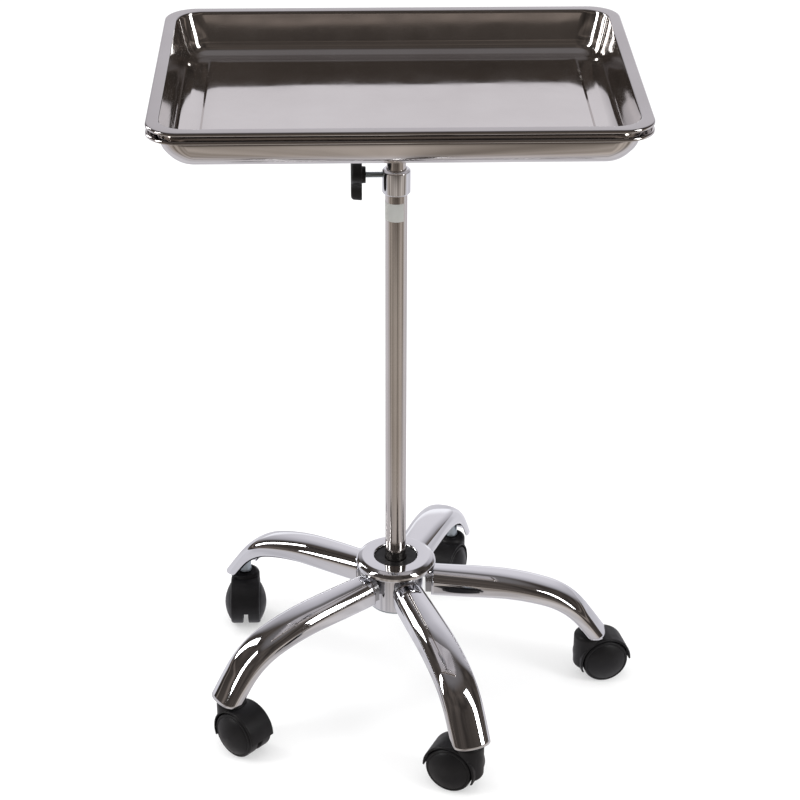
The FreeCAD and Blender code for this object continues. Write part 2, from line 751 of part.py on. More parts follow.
def bent_line(start, end_height, bend, slope, wide_arc, fall, tight_arc):
    """Corners of a side-view line that runs out nearly level, then bends down in two tangent arcs."""
    bend_x, bend_z = bend
    start_z = bend_z + (bend_x - start) * sine(slope) / cosine(slope)
    middle_x = bend_x + wide_arc * (sine(fall) - sine(slope))
    middle_z = bend_z - wide_arc * (cosine(slope) - cosine(fall))
    low_x = middle_x + tight_arc * (sine(s.tip_fall) - sine(fall))
    low_z = middle_z - tight_arc * (cosine(fall) - cosine(s.tip_fall))
    end_x = low_x + (low_z - end_height) * cosine(s.tip_fall) / sine(s.tip_fall)
    return [(start, start_z), bend, (middle_x, middle_z), (low_x, low_z), (end_x, end_height)]


def leg_block(name, trim, open_by):
    """A leg as a solid. trim moves the ridge and sides in; open_by lets the hollow run past the edges."""
    start = s.leg_root - open_by
    end = s.leg_end - open_by
    ridge = bent_line(start, end, (s.leg_bend - trim * sine(s.ridge_slope),
                                   s.ridge_height - trim * cosine(s.ridge_slope)),
                      s.ridge_slope, s.ridge_wide_arc - trim, s.ridge_fall, s.ridge_tight_arc - trim)
    edge = bent_line(start, end, (s.leg_bend - open_by, s.edge_height - open_by), s.edge_slope,
                     s.edge_wide_arc, s.edge_fall, s.edge_tight_arc)
    side_view = doc.addObject("PartDesign::Body", name + "_side_view")
    sketch = new_sketch(side_view, name + "_side_outline", "XZ_Plane")
    outline(sketch, ridge + edge[::-1],
            {1: (s.ridge_wide_arc - trim, 1), 2: (s.ridge_tight_arc - trim, 1),
             6: (s.edge_tight_arc, -1), 7: (s.edge_wide_arc, -1)})
    pad(side_view, name + "_side_pad", sketch, 4 * s.tip_half_width, both_ways=True)

    top_view = doc.addObject("PartDesign::Body", name + "_top_view")
    sketch = new_sketch(top_view, name + "_top_outline", "XY_Plane")
    root = s.root_half_width - trim
    tip = s.tip_half_width - trim
    outline(sketch, [(start, -root), (s.leg_reach, -tip), (s.leg_reach, tip), (start, root)],
            {0: (s.side_arc, -1), 2: (s.side_arc, -1)})
    pad(top_view, name + "_top_pad", sketch, 2 * s.ridge_height)

    block = common(name + "_block", side_view, top_view)
    doc.recompute()
    return rounded(name + "_rounded", block, s.leg_round - trim, on_ridge(ridge))


def on_ridge(ridge):
    """A test for the edges where the ridge meets the side walls."""
    heights = [(number(across), number(up)) for across, up in ridge]

    def test(edge):
        ends = [vertex.Point for vertex in edge.Vertexes]
        along = len(ends) == 2 and abs(ends[0].x - ends[1].x) > 1 and abs(ends[0].y) > 1
        same_side = along and ends[0].y * ends[1].y > 0
        return same_side and all(any(near(end.x, across) and near(end.z, up) for across, up in heights)
                                 for end in ends)

    return test


def leg(index, block, hollow):
    """A pressed sheet leg, open below."""
    name = f"leg_{index}"
    thing = cut(name, block, hollow)
    thing.Placement = turned(leg_angle(index))
    return label(thing, name)


def leg_angle(index):
    """The legs are evenly spaced, but the last one stands a little ahead."""
    lead = s.last_leg_lead.value if index == LEG_COUNT else 0
    return s.first_leg.value + 360 / LEG_COUNT * (index - 1) + lead


def hub_lugs(hollow):
    """Steel tongues from the sleeve into the roots of the legs."""
    length = s.lug_reach - s.sleeve_radius / 2
    bar = box("lug_bar", length, 4 * s.root_half_width, s.ridge_height, (s.sleeve_radius / 2,
              -2 * s.root_half_width, s.lug_bottom))
    filled = common("lug_in_leg", bar, hollow)
    sleeve = cylinder("lug_sleeve_side", s.sleeve_radius, s.ring_top, (0, 0, 0))
    lug = cut("lug", filled, sleeve)
    lugs = []
    for index in range(1, LEG_COUNT + 1):
        copy = doc.addObject("Part::Compound", f"lug_{index}")
        copy.Links = [lug]
        copy.Placement = turned(leg_angle(index))
        lugs.append(copy)
    return label(group("hub_lugs", lugs), "hub_lugs")


def stem_socket(index, hollow):
    """A flanged socket in the leg's tip that takes the caster's stem."""
    name = f"stem_socket_{index}"
    top = s.ridge_height
    low = s.stem_bush_bottom
    post = cylinder(name + "_post", s.stem_bush_radius, top - low, (s.caster_circle, 0, low))
    fitted = common(name + "_fitted", post, hollow)
    flange = cylinder(name + "_flange", s.stem_bush_flange, s.stem_flange_height, (s.caster_circle, 0, low))
    bore = cylinder(name + "_bore", s.stem_radius + s.running_gap, s.stem_high - low + 2 * OVERRUN,
                    (s.caster_circle, 0, low - OVERRUN))
    thing = cut(name, fuse(name + "_solid", fitted, flange), bore)
    thing.Placement = turned(leg_angle(index))
    return label(thing, name)


# ---------------------------------------------------------------- casters


def parked(index):
    """From a caster's own frame (stem on Z, axle at +X) to where it stands."""
    spot = turned(leg_angle(index)).multVec(Vector(s.caster_circle.value, 0, 0))
    return Placement(spot, Rotation(Vector(0, 0, 1), PARKED_ANGLES[index - 1]))


def across_axle(name, radius, start, length):
    """A cylinder round the axle's line, from start along the caster's +Y."""
    return cylinder(name, radius, length, (s.caster_trail, start, s.wheel_radius), ALONG_PLUS_Y)


def caster_hood(index):
    """Swivel boss, fender over both wheels and the web between them, in one moulding."""
    name = f"caster_hood_{index}"
    fender = across_axle(name + "_fender", s.hood_outer, -s.hood_half_width, 2 * s.hood_half_width)
    fender_soft = rounded(name + "_fender_soft", fender, s.hood_round, is_circle)
    boss = cylinder(name + "_boss", s.boss_radius, s.boss_top - s.boss_low, (0, 0, s.boss_low))
    boss_soft = rounded(name + "_boss_soft", boss, s.boss_round, is_circle)
    space = 2 * s.hood_half_width
    wheel_a = across_axle(name + "_space_a", s.hood_inner, s.hood_web, space)
    wheel_b = across_axle(name + "_space_b", s.hood_inner, -s.hood_web - space, space)
    wide = 4 * s.hood_outer
    under = box(name + "_under", wide, wide, wide, (-wide / 2, -wide / 2, s.boss_low - wide))
    behind = box(name + "_behind", wide, wide, wide,
                 (s.caster_trail + s.wheel_hub, -wide / 2, s.hood_lip - wide))
    stem = cylinder(name + "_stem_hole", s.stem_radius, s.boss_top, (0, 0, s.stem_low))
    axle = across_axle(name + "_axle_hole", s.axle_radius, -s.hood_half_width, 2 * s.hood_half_width)
    thing = cut(name, fuse(name + "_solid", fender_soft, boss_soft), wheel_a, wheel_b, under, behind, stem,
                axle)
    thing.Placement = parked(index)
    return label(thing, name)


def caster_stem(index):
    name = f"caster_stem_{index}"
    shank = cylinder(name + "_shank", s.stem_radius, s.stem_high - s.stem_low, (0, 0, s.stem_low))
    thing = rounded(name, shank, s.stem_round,
                    lambda edge: is_circle(edge) and near(middle(edge).z, s.stem_high.value))
    thing.Placement = parked(index)
    return label(thing, name)


def caster_axle(index):
    name = f"caster_axle_{index}"
    thing = group(name, [across_axle(name + "_rod", s.axle_radius, -s.axle_half, 2 * s.axle_half)])
    thing.Placement = parked(index)
    return label(thing, name)


def caster_wheel(index, side, turn):
    """A domed wheel with a hollow behind its dome. It is built along Z and then laid on its axle."""
    name = f"caster_wheel_{index}{side}"
    disc = cylinder(name + "_disc", s.wheel_radius, s.wheel_outer - s.wheel_inner, (0, 0, s.wheel_inner))
    ball = doc.addObject("Part::Sphere", name + "_ball")
    bind(ball, "Radius", s.wheel_dome)
    place(ball, (0, 0, s.wheel_outer - s.wheel_dome))
    shoulder = s.wheel_outer.value - s.wheel_dome.value + math.sqrt(
        s.wheel_dome.value ** 2 - s.wheel_radius.value ** 2)
    soft = rounded(name + "_soft", common(name + "_domed", disc, ball), s.wheel_round,
                   lambda edge: is_circle(edge) and near(middle(edge).z, shoulder))
    hollow = tube(name + "_hollow", s.wheel_hollow, s.wheel_hub, s.wheel_inner - OVERRUN,
                  s.wheel_inner + s.hollow_depth)
    bore = cylinder(name + "_bore", s.axle_radius + s.running_gap, s.axle_bore)
    thing = cut(name, soft, hollow, bore)
    thing.Placement = parked(index) * Placement(Vector(s.caster_trail.value, 0, s.wheel_radius.value), turn)
    return label(thing, name)


# ---------------------------------------------------------------- assembly and files


def build():
    parts = [instrument_tray(), carrier_tray(), carrier_flange(), flange_studs(), flange_nuts(),
             mast_set_screw(), inner_tube(), mast_plug(), mast_guide(), retaining_screw(), outer_pole(),
             pole_collar(), collar_bush(), pole_label(), pressure_pad(), clamp_screw(), clamp_knob(),
             hub_sleeve(), hub_ring(), base_bush(), pole_plug(), base_washer(), base_bolt()]
    block = leg_block("leg_outside", as_size(0), as_size(0))
    hollow = leg_block("leg_hollow", s.leg_sheet, 3 * s.leg_sheet)
    parts.append(hub_lugs(hollow))
    for index in range(1, LEG_COUNT + 1):
        parts += [leg(index, block, hollow), stem_socket(index, hollow), caster_hood(index),
                  caster_stem(index), caster_axle(index), caster_wheel(index, "a", ALONG_PLUS_Y),
                  caster_wheel(index, "b", ALONG_MINUS_Y)]
    doc.recompute()
    return parts


def check(parts):
    """Stops on a failed object or a bad shape."""
    for thing in doc.Objects:
        if "Invalid" in thing.State or "Error" in thing.State:
            raise RuntimeError(f"{thing.Name} failed: {thing.State}")
    for part in parts:
        if part.Shape.isNull() or not part.Shape.isValid() or not part.Shape.Solids:
            raise RuntimeError(f"{part.Label} has no valid solid")


def export(parts):
    os.makedirs("parts", exist_ok=True)
    for part in parts:
        part.Shape.exportStep(f"parts/{part.Label}.step")
        print(f"{part.Label}: {len(part.Shape.Solids)} solid(s), {part.Shape.Volume / 1000:.2f} cm3")


PARTS = build()
check(PARTS)
export(PARTS)
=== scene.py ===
import bpy
import bmesh
import json
import math
from mathutils import Matrix, Vector

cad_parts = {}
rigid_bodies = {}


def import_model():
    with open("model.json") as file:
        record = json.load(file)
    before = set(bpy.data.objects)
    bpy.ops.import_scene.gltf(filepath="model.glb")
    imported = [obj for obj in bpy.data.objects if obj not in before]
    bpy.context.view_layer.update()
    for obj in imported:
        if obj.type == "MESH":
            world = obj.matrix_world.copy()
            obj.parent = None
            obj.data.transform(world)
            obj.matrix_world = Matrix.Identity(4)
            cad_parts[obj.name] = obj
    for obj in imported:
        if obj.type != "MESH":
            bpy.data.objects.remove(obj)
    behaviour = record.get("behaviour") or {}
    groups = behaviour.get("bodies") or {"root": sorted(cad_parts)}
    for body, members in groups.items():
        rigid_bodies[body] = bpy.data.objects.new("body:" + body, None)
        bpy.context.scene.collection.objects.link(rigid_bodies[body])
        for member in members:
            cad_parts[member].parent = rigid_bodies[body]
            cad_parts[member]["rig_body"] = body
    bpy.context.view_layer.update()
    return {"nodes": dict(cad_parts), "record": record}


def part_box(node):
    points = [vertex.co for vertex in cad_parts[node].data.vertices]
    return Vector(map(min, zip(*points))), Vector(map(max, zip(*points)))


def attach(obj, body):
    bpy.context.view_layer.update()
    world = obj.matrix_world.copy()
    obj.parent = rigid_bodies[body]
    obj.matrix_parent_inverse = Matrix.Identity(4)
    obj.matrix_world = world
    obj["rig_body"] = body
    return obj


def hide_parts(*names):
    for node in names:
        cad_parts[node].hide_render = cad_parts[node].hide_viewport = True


# Looks of the instrument cart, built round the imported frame. The pieces' sizes are in millimetres and
# become metres where a mesh is made; the studio at the end is in metres.

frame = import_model()
MM = 0.001
LEGS = range(1, 6)
SHEET = 0.8
RIM_WIDTH = 12.0
TRAY_DEPTH = 41.5


def low(node):
    """Lowest corner of a CAD node in millimetres."""
    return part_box(node)[0] / MM


def high(node):
    """Highest corner of a CAD node in millimetres."""
    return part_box(node)[1] / MM


def body_of(node):
    return frame["nodes"][node]["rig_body"]


def smoothstep(share):
    share = min(max(share, 0.0), 1.0)
    return share * share * (3 - 2 * share)


# ---------------------------------------------------------------- materials


def new_material(name):
    material = bpy.data.materials.new(name)
    material.use_nodes = True
    nodes = material.node_tree.nodes
    return material, nodes, material.node_tree.links, nodes["Principled BSDF"]


def noise(nodes, links, scale, detail=3.0, stretch=(1, 1, 1)):
    """Noise in the object's own coordinates; stretch scales it along each axis."""
    coordinates = nodes.new("ShaderNodeTexCoord")
    mapping = nodes.new("ShaderNodeMapping")
    mapping.inputs["Scale"].default_value = stretch
    texture = nodes.new("ShaderNodeTexNoise")
    texture.inputs["Scale"].default_value = scale
    texture.inputs["Detail"].default_value = detail
    links.new(coordinates.outputs["Object"], mapping.inputs["Vector"])
    links.new(mapping.outputs["Vector"], texture.inputs["Vector"])
    return texture.outputs["Fac"]


def spread(nodes, links, source, low_value, high_value):
    """Maps a noise to a range of numbers."""
    ramp = nodes.new("ShaderNodeMapRange")
    ramp.inputs["From Min"].default_value = 0.3
    ramp.inputs["From Max"].default_value = 0.7
    ramp.inputs["To Min"].default_value = low_value
    ramp.inputs["To Max"].default_value = high_value
    links.new(source, ramp.inputs["Value"])
    return ramp.outputs["Result"]


def tint(nodes, links, source, dark, light):
    """Maps a noise to a range of colours."""
    ramp = nodes.new("ShaderNodeValToRGB")
    ramp.color_ramp.elements[0].position = 0.3
    ramp.color_ramp.elements[1].position = 0.7
    ramp.color_ramp.elements[0].color = (*dark, 1)
    ramp.color_ramp.elements[1].color = (*light, 1)
    links.new(source, ramp.inputs["Fac"])
    return ramp.outputs["Color"]


def map_range(nodes, links, source, start, end):
    """A smooth step from 0 to 1 between two values of the source."""
    step = nodes.new("ShaderNodeMapRange")
    step.interpolation_type = "SMOOTHSTEP"
    step.inputs["From Min"].default_value = start
    step.inputs["From Max"].default_value = end
    links.new(source, step.inputs["Value"])
    return step.outputs["Result"]


def blend_colours(nodes, links, factor, first, second, mode="MIX"):
    """Mixes two colours, each a value or an output socket."""
    mix = nodes.new("ShaderNodeMix")
    mix.data_type = "RGBA"
    mix.blend_type = mode
    for value, socket in ((factor, mix.inputs[0]), (first, mix.inputs[6]), (second, mix.inputs[7])):
        if isinstance(value, bpy.types.NodeSocket):
            links.new(value, socket)
        elif isinstance(value, tuple):
            socket.default_value = (*value, 1)
        else:
            socket.default_value = value
    return mix.outputs[2]


def bump(nodes, links, shader, layers):
    """Stacks bumps on the shader, each given as (height source, depth in millimetres, strength)."""
    previous = None
    for source, depth, strength in layers:
        node = nodes.new("ShaderNodeBump")
        node.inputs["Strength"].default_value = strength
        node.inputs["Distance"].default_value = depth * MM
        links.new(source, node.inputs["Height"])
        if previous:
            links.new(previous, node.inputs["Normal"])
        previous = node.outputs["Normal"]
    links.new(previous, shader.inputs["Normal"])


def metal(name, dark, light, roughness, wave, grain, stretch=(1, 1, 1)):
    """Polished metal: cloudy tone and gloss, slow waves of the sheet and a fine brushed grain."""
    material, nodes, links, shader = new_material(name)
    shader.inputs["Metallic"].default_value = 1.0
    cloud = noise(nodes, links, 9, 4)
    links.new(tint(nodes, links, cloud, dark, light), shader.inputs["Base Color"])
    smear = noise(nodes, links, 30, 5)
    links.new(spread(nodes, links, smear, *roughness), shader.inputs["Roughness"])
    wave_scale, wave_depth = wave
    grain_scale, grain_depth = grain
    bump(nodes, links, shader, [(noise(nodes, links, wave_scale, 1), wave_depth, 1.0),
                                (noise(nodes, links, grain_scale, 2, stretch), grain_depth, 1.0)])
    return material


def plastic(name, dark, light, roughness, grain_depth):
    """Moulded plastic with a fine spark-eroded grain."""
    material, nodes, links, shader = new_material(name)
    links.new(tint(nodes, links, noise(nodes, links, 60, 4), dark, light), shader.inputs["Base Color"])
    links.new(spread(nodes, links, noise(nodes, links, 140, 4), *roughness), shader.inputs["Roughness"])
    shader.inputs["Specular IOR Level"].default_value = 0.3
    bump(nodes, links, shader, [(noise(nodes, links, 2200, 2), grain_depth, 0.5),
                                (noise(nodes, links, 45, 2), 0.05, 0.4)])
    return material


def painted_rim_shade(material, start, end, share):
    """Painted shade: darkens the metal's colour where the object is higher than the walls' mouth, in metres,
    so the rim's flat top looks darker.
    """
    nodes, links = material.node_tree.nodes, material.node_tree.links
    shader = nodes["Principled BSDF"]
    colour = shader.inputs["Base Color"].links[0].from_socket
    place = nodes.new("ShaderNodeTexCoord")
    split = nodes.new("ShaderNodeSeparateXYZ")
    links.new(place.outputs["Object"], split.inputs["Vector"])
    rim = map_range(nodes, links, split.outputs["Z"], start, end)
    # painted shade: the metal's colour multiplied down to the given share on the rim's top
    rim_shade_colour = blend_colours(nodes, links, 1.0, colour, (share, share, share * 1.02), "MULTIPLY")
    links.new(blend_colours(nodes, links, rim, colour, rim_shade_colour), shader.inputs["Base Color"])


MATERIALS = {
    "stainless_sheet": metal("stainless_sheet", (0.62, 0.59, 0.575), (0.69, 0.665, 0.65), (0.05, 0.11),
                             (7, 0.9), (900, 0.0012), (0.06, 1, 1)),
    "stainless_tube": metal("stainless_tube", (0.60, 0.565, 0.54), (0.67, 0.635, 0.61), (0.10, 0.17),
                            (12, 0.05), (1400, 0.003), (1, 1, 0.02)),
    "chrome": metal("chrome", (0.74, 0.74, 0.76), (0.79, 0.79, 0.81), (0.025, 0.06), (16, 0.10),
                    (700, 0.0006)),
    "plain_steel": metal("plain_steel", (0.40, 0.40, 0.41), (0.52, 0.52, 0.53), (0.28, 0.42), (30, 0.1),
                         (900, 0.01)),
    "zinc_steel": metal("zinc_steel", (0.36, 0.41, 0.44), (0.50, 0.55, 0.57), (0.22, 0.36), (40, 0.05),
                        (1200, 0.006)),
    "black_plastic": plastic("black_plastic", (0.0052, 0.0048, 0.0055), (0.0082, 0.0077, 0.0086),
                             (0.36, 0.50), 0.012),
    "white_nylon": plastic("white_nylon", (0.70, 0.70, 0.66), (0.80, 0.80, 0.77), (0.40, 0.55), 0.02),
    "label_film": plastic("label_film", (0.385, 0.385, 0.365), (0.435, 0.435, 0.415), (0.35, 0.5), 0.01),
}
# painted shade on the instrument tray's rim top: its colour toned down to 74 per cent
painted_rim_shade(MATERIALS["stainless_sheet"], 0.7054, 0.7064, 0.74)
NODE_SLOTS = {part["node"]: part["material_slot"] for part in frame["record"]["subparts"]}


def dress(thing, slot):
    thing.data.materials.clear()
    thing.data.materials.append(MATERIALS[slot])


# ---------------------------------------------------------------- mesh helpers


def new_piece(name, points, faces, nodes, turn=None, sharp=35):
    """A mesh from points in millimetres that stands for CAD nodes and rides on their body."""
    mesh = bpy.data.meshes.new(name)
    mesh.from_pydata([tuple(Vector(point) * MM) for point in points], [], faces)
    mesh.validate()
    if turn:
        mesh.transform(turn)
    shape = bmesh.new()
    shape.from_mesh(mesh)
    bmesh.ops.remove_doubles(shape, verts=shape.verts, dist=0.001 * MM)
    bmesh.ops.recalc_face_normals(shape, faces=shape.faces)
    shape.to_mesh(mesh)
    shape.free()
    mesh.shade_smooth()
    mesh.set_sharp_from_angle(angle=math.radians(sharp))
    piece = bpy.data.objects.new(name, mesh)
    bpy.context.scene.collection.objects.link(piece)
    slot = NODE_SLOTS[nodes[0]]
    dress(piece, slot)
    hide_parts(*nodes)
    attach(piece, body_of(nodes[0]))
    return piece


def grid_faces(rows, columns, close_rows=False, close_columns=True):
    """Quads between rows of points; closing joins the last row or column to the first."""
    faces = []
    for row in range(rows if close_rows else rows - 1):
        below = row * columns
        above = (row + 1) % rows * columns
        for column in range(columns if close_columns else columns - 1):
            beside = (column + 1) % columns
            faces.append((below + column, below + beside, above + beside, above + column))
    return faces


def lathed(profile, segments=96):
    """Points and faces of a closed profile of (radius, height) turned round the Z axis."""
    points = []
    for radius, height in profile:
        for step in range(segments):
            angle = 2 * math.pi * step / segments
            points.append((radius * math.cos(angle), radius * math.sin(angle), height))
    return points, grid_faces(len(profile), segments, close_rows=True)


def softened(corners, radius, steps=4):
    """Rounds each corner of a closed profile by a small radius."""
    rounded = []
    for index, corner in enumerate(corners):
        here = Vector(corner)
        before = Vector(corners[index - 1]) - here
        after = Vector(corners[(index + 1) % len(corners)]) - here
        reach = min(radius, before.length * 0.45, after.length * 0.45)
        start = here + before.normalized() * reach
        end = here + after.normalized() * reach
        for step in range(steps + 1):
            share = step / steps
            rounded.append(start * (1 - share) ** 2 + here * 2 * share * (1 - share) + end * share ** 2)
    return [tuple(point) for point in rounded]


def turned_piece(name, corners, radius, nodes, turn=None, segments=96):
    """A turned piece with softened edges."""
    points, faces = lathed(softened(corners, radius), segments)
    new_piece(name, points, faces, nodes, turn)


# ---------------------------------------------------------------- trays


def rounded_ring(half_width, half_length, corner, height):
    """Points round a rounded rectangle, evenly divided on its sides and corners."""
    corner_steps = 14
    side_steps = 20
    points = []
    centres = ((1, 1), (-1, 1), (-1, -1), (1, -1))
    for quarter, (across, along) in enumerate(centres):
        centre = Vector((across * (half_width - corner), along * (half_length - corner), height))
        arc = []
        for step in range(corner_steps + 1):
            angle = math.pi / 2 * (quarter + step / corner_steps)
            arc.append(centre + Vector((math.cos(angle), math.sin(angle), 0)) * corner)
        points.extend(arc)
        across, along = centres[(quarter + 1) % 4]
        next_centre = Vector((across * (half_width - corner), along * (half_length - corner), height))
        angle = math.pi / 2 * (quarter + 1)
        goal = next_centre + Vector((math.cos(angle), math.sin(angle), 0)) * corner
        points.extend(arc[-1].lerp(goal, step / side_steps) for step in range(1, side_steps))
    return points


def arc_points(centre, radius, start, end, steps):
    """Points of an arc in the section's plane, angles in degrees."""
    return [(centre[0] + radius * math.cos(math.radians(start + (end - start) * step / steps)),
             centre[1] + radius * math.sin(math.radians(start + (end - start) * step / steps)))
            for step in range(steps + 1)]


def tray_section(rim, floor, draft, floor_round, barrel, panel):
    """Upper surface of a pressed tray as (inset, height), from the lip inwards to the middle."""
    lip, bend, mouth_bend = 3.0, 1.8, 1.6
    tangent = math.tan(math.radians(draft))
    section = [(0.0, rim - lip), (0.0, rim - bend - 0.6)]
    section += arc_points((bend, rim - bend), bend, 180, 90, 6)
    section += [(RIM_WIDTH * 0.5, rim)]
    section += arc_points((RIM_WIDTH - mouth_bend, rim - mouth_bend), mouth_bend, 90, draft, 6)
    centre_height = floor + floor_round
    wall_at_centre = RIM_WIDTH + (rim - centre_height) * tangent
    centre = (wall_at_centre + floor_round / math.cos(math.radians(draft)), centre_height)
    top = section[-1]
    bottom = arc_points(centre, floor_round, 180 + draft, 270, 14)
    for step in range(1, 12):
        share = step / 12
        bulge = barrel * math.sin(math.pi * share)
        section.append((top[0] + (bottom[0][0] - top[0]) * share + bulge,
                        top[1] + (bottom[0][1] - top[1]) * share))
    section += bottom
    if panel:
        margin, rise, slope = 46.0, 1.6, 3.0
        section += [(margin - slope, floor), (margin - slope * 0.7, floor + rise * 0.12),
                    (margin - slope * 0.3, floor + rise * 0.88), (margin, floor + rise),
                    (margin + 12, floor + rise)]
        floor += rise
    section += [(110.0, floor), (150.0, floor)]
    return section


def tray(name, node, rim, floor, draft, floor_round, barrel, panel):
    """A pressed sheet tray with its thickness below the upper surface."""
    half = (high(node) - low(node)) / 2
    section = tray_section(rim, floor, draft, floor_round, barrel, panel)
    outer_corner, wall_corner, least_corner = 31.0, 26.0, 5.0
    shrink_start = 18.0
    points = []
    for inset, height in section:
        if inset <= RIM_WIDTH:
            corner = outer_corner + (wall_corner - outer_corner) * inset / RIM_WIDTH
        else:
            corner = wall_corner - max(0.0, inset - shrink_start)
        corner = max(corner, least_corner)
        points.extend(rounded_ring(half.x - inset, half.y - inset, corner, height))
    columns = len(points) // len(section)
    faces = grid_faces(len(section), columns)
    faces.append(tuple(range(len(points) - columns, len(points))))
    piece = new_piece(name, points, faces, [node], sharp=60)
    shell = piece.modifiers.new("sheet", "SOLIDIFY")
    shell.thickness = SHEET * MM
    shell.offset = -1
    shell.use_even_offset = True


def trays():
    rim = high("instrument_tray").z
    tray("instrument_tray_pressing", "instrument_tray", rim, rim - TRAY_DEPTH, 13, 16, -0.2, True)
    carrier_rim = high("carrier_tray").z
    carrier_floor = low("carrier_tray").z + SHEET
    tray("carrier_tray_pressing", "carrier_tray", carrier_rim, carrier_floor, 3, 27, 0.3, False)


# ---------------------------------------------------------------- mast, poles and clamp


def tube_piece(name, node, wall, edge=0.3):
    radius = (high(node).x - low(node).x) / 2
    bottom, top = low(node).z, high(node).z
    corners = [(radius - wall, bottom), (radius, bottom), (radius, top), (radius - wall, top)]
    turned_piece(name, corners, edge, [node])


def flange():
    node = "carrier_flange"
    top, bottom = high(node).z, low(node).z
    plate = top - 3
    corners = [(9.5, bottom), (13.5, bottom), (13.5, plate - 3), (16.5, plate), (38, plate), (38, top),
               (9.5, top)]
    turned_piece("flange_turning", corners, 0.8, [node])


def collar():
    node = "pole_collar"
    bottom, top = low(node).z, high(node).z
    corners = [(11, bottom), (12.2, bottom), (14, bottom + 1.8), (14, top - 1.8), (12.2, top), (10, top),
               (10, top - 1), (11, top - 1)]
    turned_piece("collar_turning", corners, 0.7, [node])


def along_minus_x(height):
    """Lays a piece turned round Z along -X at the clamp screw's height."""
    return Matrix.Translation((0, 0, height * MM)) @ Matrix.Rotation(-math.pi / 2, 4, "Y")


def clamp_axis():
    return (low("clamp_screw").z + high("clamp_screw").z) / 2


def threaded_screw():
    """An M6 screw with its helical thread."""
    start, end = -high("clamp_screw").x, -low("clamp_screw").x
    pitch, crest, root, segments = 1.0, 3.0, 2.5, 36
    rows_per_turn = 6
    rows = int((end - start) / pitch * rows_per_turn)
    points = []
    for row in range(rows + 1):
        along = start + (end - start) * row / rows
        for step in range(segments):
            phase = (along / pitch + step / segments) % 1.0
            height = 1 - abs(2 * phase - 1)
            radius = root + (crest - root) * smoothstep(height * 1.3)
            angle = 2 * math.pi * step / segments
            points.append((radius * math.cos(angle), radius * math.sin(angle), along))
    faces = grid_faces(rows + 1, segments)
    faces += [tuple(range(segments)), tuple(range(rows * segments, (rows + 1) * segments))]
    new_piece("clamp_screw_threaded", points, faces, ["clamp_screw"], along_minus_x(clamp_axis()), 80)


def knob_radius(angle):
    """Outline of the three-lobe knob; a lobe points to angle 0."""
    lobe = 0.5 + 0.5 * math.cos(3 * angle)
    return 14.2 + 11.6 * smoothstep(lobe) ** 0.9


def knob():
    """Three lobes with softened edges and a tapering outer face, on a turned boss."""
    back = -high("clamp_knob").x
    face = -low("clamp_knob").x
    boss_end = back + 3.8
    segments = 180
    depth = face - boss_end
    layers = [(0.0, 0.955), (0.10, 0.985), (0.35, 1.0), (0.7, 1.0)]
    layers += [(depth - 3.4 + 3.4 * math.sin(a), 1.0 - 0.16 * (1 - math.cos(a)) - 0.02)
               for a in (math.radians(step * 10) for step in range(1, 10))]
    layers += [(depth - 0.15, 0.72), (depth - 0.5, 0.45), (depth - 0.7, 0.18)]
    points = []
    for along, share in layers:
        for step in range(segments):
            angle = 2 * math.pi * step / segments
            radius = knob_radius(angle) * share
            points.append((-radius * math.cos(angle), radius * math.sin(angle), boss_end + along))
    faces = grid_faces(len(layers), segments)
    faces += [tuple(range(segments)), tuple(range((len(layers) - 1) * segments, len(layers) * segments))]
    boss = softened([(3, back), (8.2, back), (8.5, boss_end + 1), (3, boss_end + 1)], 0.8)
    boss_points, boss_faces = lathed(boss, 64)
    shift = len(points)
    points += boss_points
    faces += [tuple(index + shift for index in quad) for quad in boss_faces]
    new_piece("clamp_knob_moulding", points, faces, ["clamp_knob"], along_minus_x(clamp_axis()), 50)


def mast_and_clamp():
    tube_piece("inner_tube_drawn", "inner_tube", 1.2)
    tube_piece("outer_pole_drawn", "outer_pole", 1.2)
    flange()
    collar()
    threaded_screw()
    knob()


# ---------------------------------------------------------------- hub


def hub():
    bottom, top = low("hub_ring").z, high("hub_ring").z
    corners = [(22.9, bottom), (42.0, bottom), (42.8, bottom + 0.6), (42.8, bottom + 2.2), (42.2, top - 4.6),
               (40.0, top - 2.0), (36.0, top), (23.9, top), (22.9, top - 1.0)]
    turned_piece("hub_ring_turning", corners, 0.7, ["hub_ring"], segments=160)
    low_end, high_end = low("hub_sleeve").z, high("hub_sleeve").z
    corners = [(4.3, low_end), (29.2, low_end), (29.2, high_end), (22.9, high_end), (22.9, low_end + 6),
               (4.3, low_end + 6)]
    turned_piece("hub_sleeve_casting", corners, 1.0, ["hub_sleeve"], segments=128)
    low_end, high_end = low("base_bush").z, high("base_bush").z
    pole_end = low("outer_pole").z
    corners = [(4.3, low_end), (22.9, low_end), (22.9, high_end - 0.6), (21.9, high_end),
               (12.0, high_end - 0.4), (11.0, high_end - 1.2), (11.0, pole_end), (4.3, pole_end)]
    turned_piece("base_bush_moulding", corners, 0.6, ["base_bush"], segments=96)


# ---------------------------------------------------------------- legs


def bent_line(bend, slope, wide_arc, fall, tight_arc, start, end_height):
    """Side view of a leg's line as many points: straight, two tangent arcs, straight."""
    tip_fall = 54.5

    def sine(angle):
        return math.sin(math.radians(angle))

    def cosine(angle):
        return math.cos(math.radians(angle))

    line = [(start, bend[1] + (bend[0] - start) * sine(slope) / cosine(slope)), bend]
    spot = bend
    for radius, before, after in ((wide_arc, slope, fall), (tight_arc, fall, tip_fall)):
        for step in range(1, 13):
            angle = before + (after - before) * step / 12
            line.append((spot[0] + radius * (sine(angle) - sine(before)),
                         spot[1] - radius * (cosine(before) - cosine(angle))))
        spot = line[-1]
    line.append((spot[0] + (spot[1] - end_height) * cosine(tip_fall) / sine(tip_fall), end_height))
    return line


